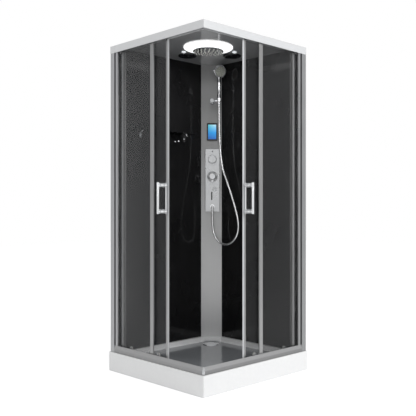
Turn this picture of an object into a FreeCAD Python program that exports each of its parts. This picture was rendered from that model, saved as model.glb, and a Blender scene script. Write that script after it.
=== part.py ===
"""Steam shower cabin: a square corner cabin with two sliding doors that meet at its near corner.

Millimetres, +Z up, origin at the middle of the footprint on the floor. The doors open at the
corner (+X, -Y), the walls close the sides -X and +Y, and the column with the fittings stands
where the walls meet. The front face is the one at -Y and the side face the one at +X.

A face is described by two distances: `along` it from the near corner, and `inward` from the
frame's outer plane. The side face is the front face mirrored across the cabin's diagonal.
The column is described by three: `across` its face to the right, `out` from it, and height.
"""
import FreeCAD
import Part
import Sketcher
import math
import os
import re

SIZES = {
    # tray
    "tray_side": 900,
    "tray_height": 120.5,
    "tray_skin": 5,
    "tray_corner_radius": 7,
    "basin_depth": 30.5,
    "basin_ledge": 22,
    "basin_corner_radius": 30,
    "drain_from_column": 123,
    "drain_hole_radius": 42,
    "drain_flange_radius": 52,
    "drain_cup_depth": 58,
    "drain_wall": 4,
    "spigot_radius": 20,
    "spigot_length": 141,
    "spigot_wall": 2.5,
    "spigot_collar_length": 16,
    "cover_radius": 57,
    "cover_rise": 9,
    "notch_width": 90,
    "notch_height": 82,
    "brace_width": 25,
    "brace_wall": 2,
    "brace_reach": 430,
    "brace_spread": 325,
    "foot_radius": 20,
    "foot_pad_height": 7,
    "foot_stem_radius": 6,
    "foot_nut_height": 9,
    # frame
    "cabin_height": 2065,
    "frame_inset": 7.5,
    "rim_height": 46.5,
    "rail_height": 45,
    "rail_depth": 46,
    "rail_wall": 4,
    "rail_rounding": 2,
    "sill_foot": 5,
    "sill_shoulder": 22,
    "sill_lean": 3.5,
    "sill_flat": 6,
    "sill_slope": 5,
    "sill_fall": 6,
    "top_rail_depth": 50,
    "post_width": 42,
    "post_depth": 50,
    "post_rounding": 4,
    "groove_width": 11,
    "groove_depth": 14,
    "channel_width": 21,
    "channel_depth": 17.5,
    "channel_setback": 4,
    "connector_reach": 65,
    # glass and stiles
    "glass_thickness": 5,
    "fixed_glass_inward": 14.5,
    "fixed_stile_along": 461,
    "fixed_stile_width": 28,
    "fixed_stile_inward": 12.8,
    "fixed_stile_depth": 8.4,
    "door_glass_inward": 28,
    "door_along": 330,
    "door_stop_gap": 14,
    "lead_stile_width": 11,
    "lead_stile_lap": 7,
    "tail_stile_width": 24,
    "stile_depth": 16,
    "stile_lap": 14,
    "magnet_width": 14.7,
    "brush_width": 6,
    # running gear
    "track_inward": 38.5,
    "track_width": 3,
    "track_rise": 29.5,
    "track_below_rim": 15.5,
    "valley_rise": 20,
    "wheel_radius": 12,
    "wheel_groove_radius": 10,
    "wheel_width": 6,
    "wheel_groove_width": 3.6,
    "axle_radius": 3,
    "carrier_radius": 11,
    "lead_wheel_inset": 110,
    "tail_wheel_inset": 87,
    "bearing_gap": 0.05,
    "running_gap": 0.3,
    "seat_gap": 0.2,
    # handles
    "handle_radius": 7,
    "handle_low": 1000,
    "handle_length": 183,
    "handle_outward": 38,
    "handle_inset": 20,
    "standoff_inset": 15,
    "standoff_radius": 8,
    "collar_radius": 12.5,
    "collar_length": 20,
    "backplate_width": 10,
    "backplate_thickness": 4,
    # walls and column
    "wall_inset": 50.5,
    "wall_thickness": 5,
    "ceiling_drop": 10,
    "ceiling_thickness": 4,
    "rim_thickness": 4,
    "column_depth": 76.4,
    "column_skin": 3,
    "column_trim_width": 14,
    "column_trim_rise": 2,
    # ceiling fittings
    "ring_from_middle": 25,
    "ring_radius": 156,
    "ring_hole_radius": 98,
    "ring_thickness": 11,
    "rain_head_radius": 97.5,
    "rain_head_drop": 30,
    "rain_head_edge": 7,
    "rain_stem_radius": 10,
    "roof_pipe_rise": 20,
    "roof_disc_radius": 60,
    "roof_disc_drop": 12,
    "roof_disc_near": 23,
    "roof_disc_far": 233,
    "fan_duct_radius": 50,
    "fan_duct_wall": 3,
    "fan_duct_rise": 40,
    "fan_radius": 44,
    "fan_hub_radius": 16,
    "fan_hub_depth": 18,
    "fan_blade_width": 14,
    "fan_blade_pitch": 38,
    "speaker_radius": 42,
    "speaker_rise": 26,
    "spot_radius": 14.5,
    "spot_drop": 8,
    "spot_near_offset": 55,
    "spot_far_offset": 179,
    # column fittings
    "fitting_across": 7.5,
    "nozzle_across": 2.5,
    "display_across": 5.5,
    "plate_width": 103,
    "plate_below_display": 57,
    "plate_height": 448,
    "plate_thickness": 10,
    "plate_rounding": 3,
    "diverter_above_mixer": 122,
    "diverter_radius": 30,
    "diverter_depth": 16,
    "mixer_above_edge": 251,
    "mixer_radius": 36,
    "mixer_depth": 34,
    "spindle_radius": 5,
    "mixer_block_width": 56,
    "mixer_block_depth": 34,
    "inlet_radius": 10.5,
    "inlet_shoulder": 2.5,
    "inlet_outward": 433,
    "inlet_from_wall": 32,
    "nozzle_width": 9,
    "nozzle_below_mixer": 167,
    "nozzle_height": 58,
    "nozzle_depth": 35,
    "boiler_radius": 26,
    "boiler_low": 260,
    "boiler_height": 380,
    "steam_pipe_radius": 5,
    "elbow_above_edge": 38,
    "elbow_radius": 9,
    "elbow_outward": 42,
    "elbow_drop": 19,
    "display_width": 75,
    "display_below_holder": 275,
    "display_height": 127,
    "display_thickness": 9,
    "display_rounding": 6,
    "screen_width": 57,
    "screen_height": 103,
    "screen_thickness": 1.6,
    "screen_recess": 2,
    # hand shower
    "head_above_holder": 201,
    "holder_out": 72,
    "holder_radius": 14,
    "cup_across": 56,
    "cup_length": 56,
    "cup_taper": 30,
    "cup_below_holder": 9,
    "cup_radius": 16,
    "cup_bore_low": 8.6,
    "cup_bore_high": 10.6,
    "pivot_radius": 4,
    "hose_radius": 7,
    "hose_end_below_cup": 15,
    "head_from_ceiling": 65,
    "head_radius": 44.5,
    "head_thickness": 26,
    "head_out": 22,
    "head_tilt": 15,
    "head_turn": 28,
    "grip_slim": 10.5,
    "grip_full": 14,
    # shelf
    "shelf_length": 400,
    "shelf_depth": 120,
    "shelf_height": 1540,
    "shelf_thickness": 6,
    "shelf_end_offset": 141,
    "clamp_width": 14,
    "clamp_height": 45,
    "clamp_reach": 26,
    "hook_radius": 8,
    "hook_height": 1493,
    "hook_along_wall": 50,
    "hook_outward": 34,
}

DERIVED = {
    "frame_half": "tray_side / 2 - frame_inset",
    "wall_face": "frame_half - wall_inset",
    "rim_bottom": "cabin_height - rim_height",
    "ceiling": "cabin_height - ceiling_drop",
    "ceiling_top": "ceiling + ceiling_thickness",
    "roof_pipe_height": "ceiling + roof_pipe_rise",
    "rail_top": "tray_height + rail_height",
    "rail_end": "tray_side - 2 * frame_inset - post_width",
    "channel_along": "rail_end - groove_width - channel_width",
    "low_track": "tray_height + track_rise",
    "high_track": "rim_bottom + track_below_rim",
    "low_wheel": "low_track + wheel_groove_radius + running_gap",
    "high_wheel": "high_track + wheel_groove_radius + running_gap",
    "basin_floor": "tray_height - basin_depth",
    "basin_half": "wall_face - basin_ledge",
    "column_face": "wall_face - column_depth / sqrt(2)",
    "column_half": "column_depth - 1.5 * column_trim_rise - seat_gap",
    "drain_off": "column_face - drain_from_column / sqrt(2)",
    "door_tail": "channel_along - door_stop_gap",
    "stile_inward": "door_glass_inward - 3",
    "door_bottom": "low_track + 2",
    "door_top": "high_track - 10",
    "glass_bottom": "tray_height + valley_rise + 6",
    "glass_top": "cabin_height - 9",
    "standoff_low": "handle_low + standoff_inset",
    "standoff_high": "handle_low + handle_length - standoff_inset",
    "handle_along": "door_along + handle_inset",
    "head_height": "ceiling - head_from_ceiling",
    "holder_height": "head_height - head_above_holder",
    "cup_low": "holder_height - cup_below_holder",
    "hose_end_height": "cup_low - hose_end_below_cup",
    "display_low": "holder_height - display_below_holder",
    "plate_low": "display_low - plate_below_display - plate_height",
    "mixer_height": "plate_low + mixer_above_edge",
    "diverter_height": "mixer_height + diverter_above_mixer",
    "nozzle_low": "mixer_height - nozzle_below_mixer",
    "elbow_height": "plate_low + elbow_above_edge",
    "mixer_block_low": "mixer_height - 35",
    "mixer_block_high": "diverter_height + 26",
    "plate_across": "fitting_across",
}

# corners of the hose's loop: across the column, out from it and up from the outlet's mouth
HOSE_LOOP = [(7.5, 42, -86), (16.3, 41.7, -178), (59.4, 69.3, -241), (123, 113.1, -251),
             (178.2, 149.9, -202), (196.6, 162.6, -116), (175.4, 148.5, -8), (128, 118, 150)]
# the length that hangs straight down from the hand shower before the loop begins
HOSE_HANG = 385

document = FreeCAD.newDocument("steam_shower_cabin")
sheet = document.addObject("Spreadsheet::Sheet", "Sizes")
for row, (size_name, size_value) in enumerate(SIZES.items(), start=1):
    sheet.set(f"A{row}", size_name.replace("_", " "))
    sheet.set(f"B{row}", str(size_value))
    sheet.setAlias(f"B{row}", size_name)
document.recompute()

pieces = {}


# ---------------------------------------------------------------- formulas

def formula(text):
    """The text with every size's name pointed at the sheet and derived sizes written out."""
    def replaced(match):
        word = match.group(0)
        if word in DERIVED:
            return "(" + formula(DERIVED[word]) + ")"
        return "Sizes." + word if word in SIZES else word
    return re.sub(r"[a-z][a-z_]*", replaced, str(text))


def number(text):
    """The present value of a formula."""
    return float(sheet.evalExpression(formula(text)))


def along(distance):
    """X of a point on the front face, from its distance along the face."""
    return f"frame_half - ({distance})"


def inward(distance):
    """Y of a point on the front face, from its distance inward."""
    return f"({distance}) - frame_half"


def on_face(*corners):
    """Plan corners of a front-face piece, from pairs of along and inward."""
    return [(along(a), inward(i)) for a, i in corners]


def rectangle(low_x, low_y, high_x, high_y):
    """The four corners of a rectangle."""
    return [(low_x, low_y), (high_x, low_y), (high_x, high_y), (low_x, high_y)]


def square(half):
    """The four corners of a square about the origin."""
    return rectangle(f"-({half})", f"-({half})", half, half)


# ---------------------------------------------------------------- features

def new_body(label):
    """An empty body with a label of its own."""
    body = document.addObject("PartDesign::Body", label)
    body.Label = label
    return body


def draw(body, role, loops, offset="0"):
    """A fully driven sketch on one of the body's origin planes. A loop is a list of corners, or
    a circle given as its middle's two formulas and its radius."""
    sketch = body.newObject("Sketcher::SketchObject", body.Name + "_outline")
    support = [item for item in body.Origin.OriginFeatures if item.Role == role][0]
    sketch.AttachmentSupport = [(support, "")]
    sketch.MapMode = "FlatFace"
    sketch.setExpression("AttachmentOffset.Base.z", formula(offset))

    def drive(kind, geometry, point, text):
        if kind == "Radius":
            added = sketch.addConstraint(Sketcher.Constraint(kind, geometry, number(text)))
        else:
            added = sketch.addConstraint(
                Sketcher.Constraint(kind, -1, 1, geometry, point, number(text)))
        sketch.setExpression(f"Constraints[{added}]", formula(text))

    for loop in loops:
        first = sketch.GeometryCount
        if isinstance(loop, tuple):
            x, y, radius = loop
            middle = FreeCAD.Vector(number(x), number(y), 0)
            sketch.addGeometry(Part.Circle(middle, FreeCAD.Vector(0, 0, 1), number(radius)), False)
            drive("DistanceX", first, 3, x)
            drive("DistanceY", first, 3, y)
            drive("Radius", first, 3, radius)
            continue
        points = [FreeCAD.Vector(number(x), number(y), 0) for x, y in loop]
        count = len(points)
        for i in range(count):
            sketch.addGeometry(Part.LineSegment(points[i], points[(i + 1) % count]), False)
        for i in range(count):
            sketch.addConstraint(
                Sketcher.Constraint("Coincident", first + i, 2, first + (i + 1) % count, 1))
        for i, (x, y) in enumerate(loop):
            drive("DistanceX", first + i, 1, x)
            drive("DistanceY", first + i, 1, y)
    return sketch


def pad(body, role, loops, start, length):
    """Add a straight extrusion of the loops, from start for the length."""
    feature = body.newObject("PartDesign::Pad", body.Name + "_pad")
    feature.Profile = draw(body, role, loops, start)
    feature.setExpression("Length", formula(length))
    return feature


def pocket(body, role, loops, start, length, forward=False):
    """Cut a straight extrusion of the loops, from start backward or forward for the length."""
    document.recompute()
    before = body.Shape.Volume
    feature = body.newObject("PartDesign::Pocket", body.Name + "_pocket")
    feature.Profile = draw(body, role, loops, start)
    feature.setExpression("Length", formula(length))
    feature.Reversed = forward
    document.recompute()
    if not body.Shape.Volume < before - 1e-6:
        raise RuntimeError(f"a pocket of {body.Label} cuts nothing")
    return feature


def prism(label, loops, low, high):
    """A body that stands upright from low to high."""
    body = new_body(label)
    pad(body, "XY_Plane", loops, low, f"({high}) - ({low})")
    return body


def turned(label, outline):
    """A body turned about Z from corners given as radius and height."""
    body = new_body(label)
    sketch = draw(body, "XZ_Plane", [outline])
    feature = body.newObject("PartDesign::Revolution", label + "_turning")
    feature.Profile = sketch
    feature.ReferenceAxis = (sketch, ["V_Axis"])
    feature.Angle = 360
    return body


def edges_with(**place):
    """A test that an edge lies wholly at the given coordinates."""
    wanted = {axis: number(text) for axis, text in place.items()}

    def test(edge):
        return all(abs(getattr(vertex.Point, axis) - value) < 1e-4
                   for vertex in edge.Vertexes for axis, value in wanted.items())
    return test


def round_edges(body, radius, *tests):
    """Round the edges of the body that pass one of the tests."""
    document.recompute()
    tip = body.Tip
    names = [f"Edge{i}" for i, edge in enumerate(tip.Shape.Edges, start=1)
             if any(test(edge) for test in tests)]
    if not names:
        raise RuntimeError(f"no edge of {body.Label} is there to round")
    feature = body.newObject("PartDesign::Fillet", body.Name + "_rounding")
    feature.Base = (tip, names)
    feature.setExpression("Radius", formula(radius))
    return feature


def box(label, low, size):
    """A box from its low corner and its three lengths."""
    item = document.addObject("Part::Box", label)
    for name, text in zip(("Length", "Width", "Height"), size):
        item.setExpression(name, formula(text))
    for axis, text in zip("xyz", low):
        item.setExpression(f"Placement.Base.{axis}", formula(text))
    return item


def cylinder(label, start, radius, length, direction=(0, 0, 1)):
    """A cylinder from the middle of its first face, along a direction."""
    item = document.addObject("Part::Cylinder", label)
    item.setExpression("Radius", formula(radius))
    item.setExpression("Height", formula(length))
    item.Placement.Rotation = FreeCAD.Rotation(FreeCAD.Vector(0, 0, 1), FreeCAD.Vector(*direction))
    for axis, text in zip("xyz", start):
        item.setExpression(f"Placement.Base.{axis}", formula(text))
    return item


def ball(label, middle, radius):
    """A sphere."""
    item = document.addObject("Part::Sphere", label)
    item.setExpression("Radius", formula(radius))
    for axis, text in zip("xyz", middle):
        item.setExpression(f"Placement.Base.{axis}", formula(text))
    return item


def fused(label, parts):
    """One solid from several."""
    item = document.addObject("Part::MultiFuse", label)
    item.Label = label
    item.Shapes = parts
    item.Refine = True
    return item


def cut(label, base, tool):
    """The base less the tool."""
    item = document.addObject("Part::Cut", label)
    item.Label = label
    item.Base = base
    item.Tool = tool
    return item


def group(label, parts):
    """Separate solids kept as one sub-part."""
    item = document.addObject("Part::Compound", label)
    item.Label = label
    item.Links = parts
    return item


def mirrored(label, source):
    """The side face's copy of a front-face piece."""
    item = document.addObject("Part::Mirroring", label)
    item.Label = label
    item.Source = source
    item.Base = (0, 0, 0)
    item.Normal = (1, 1, 0)
    return item


def keep(*items):
    """Keep finished sub-parts under their labels."""
    for item in items:
        pieces[item.Label] = item


def keep_pair(front):
    """Keep a front-face sub-part and its side-face mirror image."""
    keep(front, mirrored(front.Label.replace("front", "side"), front))


def stand_at_column(item, across="0", out="0"):
    """Turn an upright piece whose -Y side is its front to face out of the column."""
    item.Placement.Rotation = FreeCAD.Rotation(FreeCAD.Vector(0, 0, 1), 45)
    item.setExpression("Placement.Base.x",
                       formula(f"-column_face + (({across}) + ({out})) / sqrt(2)"))
    item.setExpression("Placement.Base.y",
                       formula(f"column_face + (({across}) - ({out})) / sqrt(2)"))


def face_from_column(item, across, out, height):
    """Turn a piece whose +Z side is its front to face out of the column."""
    stand_at_column(item, across, out)
    item.Placement.Rotation = (FreeCAD.Rotation(FreeCAD.Vector(0, 0, 1), 45)
                               * FreeCAD.Rotation(FreeCAD.Vector(1, 0, 0), 90))
    item.setExpression("Placement.Base.z", formula(height))


# ---------------------------------------------------------------- tray and drain

def basin_outline(grow):
    """The basin's plan, a square with its back corner cut off before the column."""
    half = f"basin_half + ({grow})"
    short = f"(2 * column_face - sqrt(2) * (basin_ledge - ({grow})) - ({half}))"
    return [(f"-({half})", f"-({half})"), (half, f"-({half})"), (half, half),
            (f"-{short}", half), (f"-({half})", short)]


def make_tray():
    """The acrylic tray: an apron, a deck and a shallow basin, hollow underneath."""
    tray = new_body("shower_tray")
    pad(tray, "XY_Plane", [square("tray_side / 2")], "0", "tray_height")
    side = "tray_side / 2"
    round_edges(tray, "tray_corner_radius",
                edges_with(x=side, y=f"-{side}"), edges_with(x=side, y=side),
                edges_with(x=f"-{side}", y=side), edges_with(x=f"-{side}", y=f"-{side}"))
    pocket(tray, "XY_Plane", [basin_outline("0")], "tray_height", "basin_depth")
    round_edges(tray, "basin_corner_radius",
                edges_with(x="basin_half", y="basin_half"),
                edges_with(x="basin_half", y="-basin_half"),
                edges_with(x="-basin_half", y="-basin_half"))
    pocket(tray, "XY_Plane", [square("tray_side / 2 - tray_skin")], "0",
           "basin_floor - tray_skin", forward=True)
    pocket(tray, "XY_Plane", [square("tray_side / 2 - tray_skin"), basin_outline("tray_skin")],
           "0", "tray_height - tray_skin", forward=True)
    pocket(tray, "XY_Plane", [("-drain_off", "drain_off", "drain_hole_radius")],
           "basin_floor + 1", "tray_skin + 2")
    pocket(tray, "YZ_Plane", [rectangle("drain_off - notch_width / 2", "-1",
                                        "drain_off + notch_width / 2", "notch_height")],
           "-tray_side / 2 - 1", "tray_skin + 2", forward=True)
    keep(tray)


def make_tray_frame():
    """Square tubes welded under the basin, and the feet that stand under their ends."""
    low = "basin_floor - tray_skin - brace_width"
    half = "brace_width / 2"
    cross = f"brace_spread - {half}"
    wall = "brace_wall"
    hollow = "brace_width - 2 * brace_wall"
    runs = [("-brace_reach", f"-brace_spread - {half}", "2 * brace_reach", "brace_width", 1),
            ("-brace_reach", cross, "2 * brace_reach", "brace_width", 1),
            (f"-{half}", f"-({cross})", "brace_width", f"2 * ({cross})", 0)]
    parts = []
    for i, (x, y, long, wide, lengthwise) in enumerate(runs):
        tube = box(f"brace_{i}", (x, y, low), (long, wide, "brace_width"))
        if lengthwise:
            bore = box(f"brace_bore_{i}", (f"({x}) - 1", f"{y} + {wall}", f"{low} + {wall}"),
                       (f"{long} + 2", hollow, hollow))
        else:
            bore = box(f"brace_bore_{i}", (f"{x} + {wall}", f"{y} - 1", f"{low} + {wall}"),
                       (hollow, f"{wide} + 2", hollow))
        parts.append(cut(f"brace_tube_{i}", tube, bore))
    places = [(x, y) for y in ("-brace_spread", "brace_spread")
              for x in ("30 - brace_reach", "0", "brace_reach - 30")] + [("0", "0")]
    for i, (x, y) in enumerate(places):
        foot = turned(f"foot_{i}", [
            ("0", "0"), ("foot_radius", "0"), ("foot_radius", "foot_pad_height - 2"),
            ("foot_radius - 4", "foot_pad_height"), ("foot_stem_radius", "foot_pad_height"),
            ("foot_stem_radius", f"{low} - foot_nut_height"),
            ("foot_stem_radius * 1.8", f"{low} - foot_nut_height"),
            ("foot_stem_radius * 1.8", low), ("0", low)])
        foot.setExpression("Placement.Base.x", formula(x))
        foot.setExpression("Placement.Base.y", formula(y))
        parts.append(foot)
    keep(group("tray_frame_and_feet", parts))


def make_drain():
    """The waste under the basin with its spigot, and the chrome cover over the hole."""
    top = "basin_floor - tray_skin"
    low = f"({top}) - drain_cup_depth"
    cup = turned("drain_cup", [
        ("0", low), ("drain_hole_radius + 2", low), ("drain_hole_radius + 2", f"{top} - 4"),
        ("drain_flange_radius", f"{top} - 4"), ("drain_flange_radius", top),
        ("drain_hole_radius - drain_wall", top),
        ("drain_hole_radius - drain_wall", f"{low} + drain_wall"), ("0", f"{low} + drain_wall")])
    cup.setExpression("Placement.Base.x", formula("-drain_off"))
    cup.setExpression("Placement.Base.y", formula("drain_off"))
    middle = f"{low} + spigot_radius + 4"
    start = ("-drain_off - drain_hole_radius + drain_wall", "drain_off", middle)
    spigot = cylinder("drain_spigot", start, "spigot_radius", "spigot_length", (-1, 0, 0))
    collar = cylinder("drain_collar", start, "spigot_radius + spigot_wall",
                      "spigot_collar_length", (-1, 0, 0))
    way = cylinder("drain_way", ("-drain_off - drain_hole_radius + 2 * drain_wall", "drain_off",
                                 middle), "spigot_radius - spigot_wall",
                   "spigot_length + 2 * drain_wall", (-1, 0, 0))
    keep(cut("drain_trap", fused("drain_trap_outside", [cup, spigot, collar]), way))
    cover = turned("drain_cover", [
        ("0", "basin_floor + cover_rise"), ("cover_radius * 0.55", "basin_floor + cover_rise - 1"),
        ("cover_radius * 0.85", "basin_floor + cover_rise / 2"),
        ("cover_radius", "basin_floor + 1.5"), ("cover_radius", "basin_floor"),
        ("cover_radius - 6", "basin_floor"), ("cover_radius * 0.8", "basin_floor + 2"),
        ("drain_hole_radius - 2", "basin_floor + 2"),
        ("drain_hole_radius - 2", "basin_floor - tray_skin"),
        ("drain_hole_radius - 5", "basin_floor - tray_skin"),
        ("drain_hole_radius - 5", "basin_floor + 3"), ("0", "basin_floor + 3")])
    cover.setExpression("Placement.Base.x", formula("-drain_off"))
    cover.setExpression("Placement.Base.y", formula("drain_off"))
    keep(cover)


# ---------------------------------------------------------------- frame

def mitre(body, depth, low, high):
    """Cut the near end of a front rail on the cabin's diagonal."""
    reach = f"({depth}) + 3"
    wedge = on_face(("-3", "-3"), ("-3", reach), (reach, reach))
    pocket(body, "XY_Plane", [wedge], f"({high}) + 1", f"({high}) - ({low}) + 2")


def make_bottom_rails():
    """The extruded sill: a front that leans back, the fixed glass's groove and the track."""
    deck = "tray_height"
    valley = f"{deck} + valley_rise"
    groove_low = "fixed_glass_inward - 0.6"
    groove_high = "fixed_glass_inward + glass_thickness + 0.6"
    shelf = "rail_top - sill_fall"
    track_near = "track_inward - track_width / 2"
    track_far = "track_inward + track_width / 2"
    floor = "rail_top - 12"
    section = [("2", deck), ("rail_depth", deck), ("rail_depth", valley), (track_far, valley),
               (track_far, "low_track"), (track_near, "low_track"), (track_near, valley),
               (f"{groove_high} + 2", valley), (f"{groove_high} + 2", shelf),
               (groove_high, shelf), (groove_high, floor), (groove_low, floor),
               (groove_low, shelf), ("sill_flat + sill_slope", shelf), ("sill_flat", "rail_top"),
               ("sill_lean", "rail_top"), ("0", f"{deck} + sill_shoulder"),
               ("0", f"{deck} + sill_foot"), ("2", f"{deck} + sill_foot - 1")]
    chamber = rectangle("rail_wall", f"{deck} + rail_wall",
                        "rail_depth - rail_wall", f"{valley} - rail_wall")
    loops = [[(inward(i), z) for i, z in loop] for loop in (section, chamber)]
    rail = new_body("bottom_rail_front")
    pad(rail, "YZ_Plane", loops, along("rail_end"), "rail_end")
    round_edges(rail, "rail_rounding", edges_with(y=inward("sill_lean"), z="rail_top"))
    mitre(rail, "rail_depth", deck, "rail_top")
    keep_pair(rail)


def make_top_rails():
    """The extruded head rail: a tall front, legs that hold the fixed glass, and a hung track."""
    rim = "rim_bottom"
    top = "cabin_height"
    web = f"{top} - rail_wall"
    leg = f"{rim} + 16.5"
    groove_low = "fixed_glass_inward - 1.5"
    groove_high = "fixed_glass_inward + glass_thickness + 1.5"
    shelf_low = "high_track - 8"
    shelf = "high_track - 4"
    near = "track_inward - track_width / 2"
    far = "track_inward + track_width / 2"
    section = [("0", rim), ("0", top), ("top_rail_depth", top), ("top_rail_depth", shelf_low),
               (f"{near} - 1", shelf_low), (f"{near} - 1", shelf), (near, shelf),
               (near, "high_track"), (far, "high_track"), (far, shelf),
               ("top_rail_depth - rail_wall", shelf), ("top_rail_depth - rail_wall", web),
               (f"{groove_high} + 2", web), (f"{groove_high} + 2", leg), (groove_high, leg),
               (groove_high, f"{top} - 15"), (groove_low, f"{top} - 15"), (groove_low, leg),
               (f"{groove_low} - 2", leg), (f"{groove_low} - 2", web), ("3", web), ("3", rim)]
    end = "tray_side - 2 * frame_inset - rim_thickness"
    rail = new_body("top_rail_front")
    pad(rail, "YZ_Plane", [[(inward(i), z) for i, z in section]], along(end), end)
    round_edges(rail, "2", edges_with(y=inward("0"), z=top))
    mitre(rail, "top_rail_depth", rim, top)
    keep_pair(rail)


def make_connectors():
    """The two angles that join the mitred rails inside their chambers."""
    slack = "seat_gap"

    def angle(label, near, far, low, high):
        corners = [(near, near), ("connector_reach", near), ("connector_reach", far),
                   (far, far), (far, "connector_reach"), (near, "connector_reach")]
        return prism(label, [on_face(*corners)], low, high)

    low_angle = angle("bottom_angle", f"rail_wall + {slack}", f"rail_depth - rail_wall - {slack}",
                      f"tray_height + rail_wall + {slack}",
                      f"tray_height + valley_rise - rail_wall - {slack}")
    high_angle = angle("top_angle", f"3 + {slack}", f"fixed_glass_inward - 3.5 - {slack}",
                       "rim_bottom + 20", f"cabin_height - rail_wall - {slack}")
    keep(group("corner_connectors", [low_angle, high_angle]))


def make_posts():
    """The wall posts: a tube against the wall, a shadow groove and the fixed glass's channel."""
    outer_end = "tray_side - 2 * frame_inset"
    back = "channel_setback + channel_depth"
    slot_near = "fixed_glass_inward - seat_gap"
    slot_far = "fixed_glass_inward + glass_thickness + seat_gap"
    slot_end = "channel_along + channel_width - 3"
    tube = rectangle("rail_end", "0", outer_end, "post_depth")
    bore = rectangle("rail_end + 2.5", "2.5", f"{outer_end} - 2.5", "post_depth - 2.5")
    channel = [("rail_end", "groove_depth"), ("channel_along + channel_width", "groove_depth"),
               ("channel_along + channel_width", "channel_setback"),
               ("channel_along", "channel_setback"), ("channel_along", slot_near),
               (slot_end, slot_near), (slot_end, slot_far), ("channel_along", slot_far),
               ("channel_along", back), ("rail_end", back)]
    post = new_body("end_post_front")
    pad(post, "XY_Plane", [on_face(*tube), on_face(*bore)], "tray_height",
        "rim_bottom - tray_height")
    round_edges(post, "post_rounding", edges_with(x=along(outer_end), y=inward("0")))
    pad(post, "XY_Plane", [on_face(*channel)], "rail_top", "rim_bottom - rail_top")
    keep_pair(post)


def make_roof():
    """The ceiling panel with its turned-down rims over the walls and its openings."""
    half = "frame_half"
    inner = "frame_half - top_rail_depth"
    skin = "rim_thickness"
    roof = new_body("roof_panel")
    plate = rectangle(f"-{half} + {skin}", f"-({inner})", inner, f"{half} - {skin}")
    pad(roof, "XY_Plane", [plate], "ceiling", "ceiling_thickness")
    rim = [(f"-{half}", f"-{half}"), (f"-{half} + {skin}", f"-{half}"),
           (f"-{half} + {skin}", f"{half} - {skin}"), (half, f"{half} - {skin}"),
           (half, half), (f"-{half}", half)]
    pad(roof, "XY_Plane", [rim], "rim_bottom", "rim_height")
    flange = [(f"-{half} + {skin}", f"-({inner})"), (inner, f"-({inner})"),
              (inner, f"{half} - {skin}"), (f"({inner}) - {skin}", f"{half} - {skin}"),
              (f"({inner}) - {skin}", f"-({inner}) + {skin}"),
              (f"-{half} + {skin}", f"-({inner}) + {skin}")]
    pad(roof, "XY_Plane", [flange], "ceiling", "ceiling_drop")
    riser = "(column_face + 50 / sqrt(2))"
    holes = [("-roof_disc_near", "roof_disc_far", "fan_duct_radius + 2 + seat_gap"),
             ("-roof_disc_far", "roof_disc_near", "speaker_radius + seat_gap"),
             ("ring_from_middle", "-ring_from_middle", "rain_stem_radius + seat_gap"),
             (f"-{riser}", riser, "rain_stem_radius - 2 + seat_gap")]
    pocket(roof, "XY_Plane", holes, "ceiling_top + 1", "ceiling_thickness + 2")
    keep(roof)


# ---------------------------------------------------------------- glass, stiles and walls

def make_fixed_panels():
    """The fixed panes with the stile on their free edge."""
    near = "fixed_glass_inward"
    far = "fixed_glass_inward + glass_thickness"
    start = "fixed_stile_along + fixed_stile_width - stile_lap"
    pane = on_face((start, near), ("channel_along + channel_width - 4", near),
                   ("channel_along + channel_width - 4", far), (start, far))
    keep_pair(prism("fixed_glass_front", [pane], "rail_top - 12", "cabin_height - 16"))
    front = "fixed_stile_inward"
    back = "fixed_stile_inward + fixed_stile_depth"
    lip = "fixed_stile_along + fixed_stile_width"
    section = [("fixed_stile_along", front), (lip, front), (lip, f"{near} - seat_gap"),
               (f"{start} - 1", f"{near} - seat_gap"), (f"{start} - 1", f"{far} + seat_gap"),
               (lip, f"{far} + seat_gap"), (lip, back), ("fixed_stile_along", back)]
    stile = prism("fixed_stile_front", [on_face(*section)], "rail_top - sill_fall",
                  "rim_bottom + 16.5")
    round_edges(stile, "2", edges_with(x=along("fixed_stile_along"), y=inward(front)))
    keep_pair(stile)


def wheel_places():
    """Along and height of the four wheels of a door."""
    return [(f"{end}_{level}", place, height)
            for level, height in (("bottom", "low_wheel"), ("top", "high_wheel"))
            for end, place in (("lead", "door_along + lead_wheel_inset"),
                               ("tail", "door_tail - tail_wheel_inset"))]


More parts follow.
